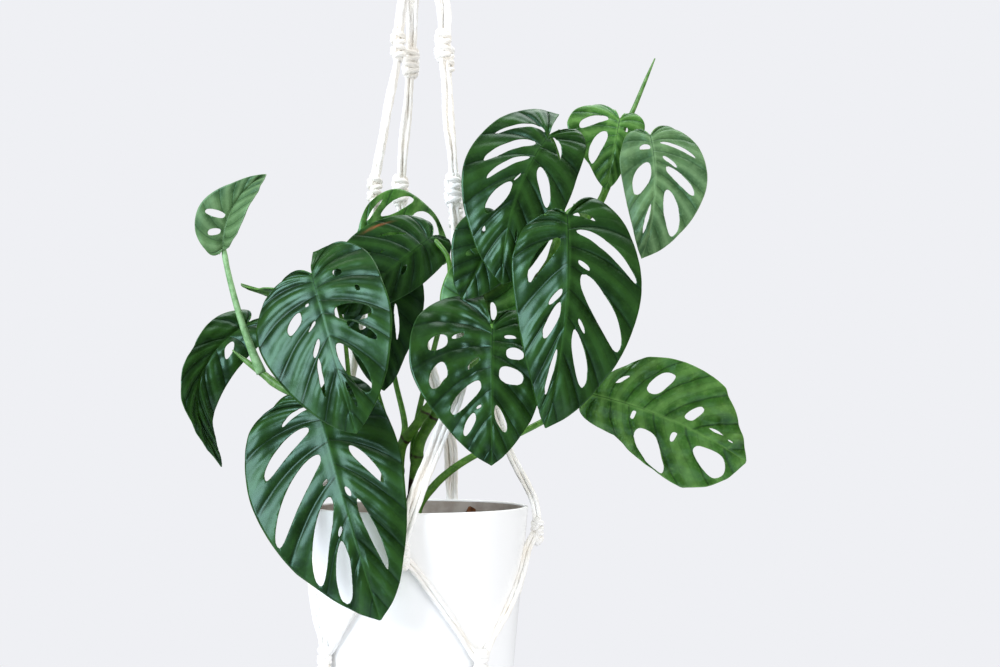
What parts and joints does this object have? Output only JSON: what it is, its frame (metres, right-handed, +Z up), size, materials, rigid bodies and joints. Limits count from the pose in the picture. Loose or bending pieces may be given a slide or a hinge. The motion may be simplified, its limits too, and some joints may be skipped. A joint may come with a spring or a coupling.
{
  "type": "swiss cheese vine in a hanging pot",
  "caption": "Swiss cheese vine with holed, heart-shaped glossy leaves in a plain white tapered pot, held by a knotted cotton rope hanger with a ring.",
  "frame": {"origin": "inside top of the hanging ring, where a hook carries it, on the pot's axis", "axes": "+Z up along the pot's axis, +X to the viewer's right, -Y toward the viewer"},
  "size_m": [0.4417, 0.2201, 0.828],
  "materials": {
    "pot": "satin",
    "soil": "rough bark chips and peat",
    "vine": "satin, brown to green",
    "young_vine": "satin, light green",
    "leaf": "glossy dark green",
    "young_leaf": "glossy light green",
    "rope": "twisted cotton",
    "ring": "oiled"
  },
  "bodies": {
    "root": {"pot": "pot", "soil": "soil", "stem_main": "vine", "stem_second": "vine", "stem_left": "young_vine", "new_leaf": "young_vine", "leaf_01": "young_leaf", "leaf_02": "leaf", "leaf_03": "leaf", "leaf_04": "leaf", "leaf_05": "leaf", "leaf_06": "leaf", "leaf_07": "leaf", "leaf_08": "leaf", "leaf_09": "young_leaf", "leaf_10": "young_leaf", "leaf_11": "young_leaf", "leaf_12": "leaf", "leaf_13": "leaf", "leaf_14": "leaf", "leaf_15": "young_leaf", "leaf_16": "leaf", "hanger_ropes": "rope", "hanger_ring": "ring"}
  },
  "joints": []
}
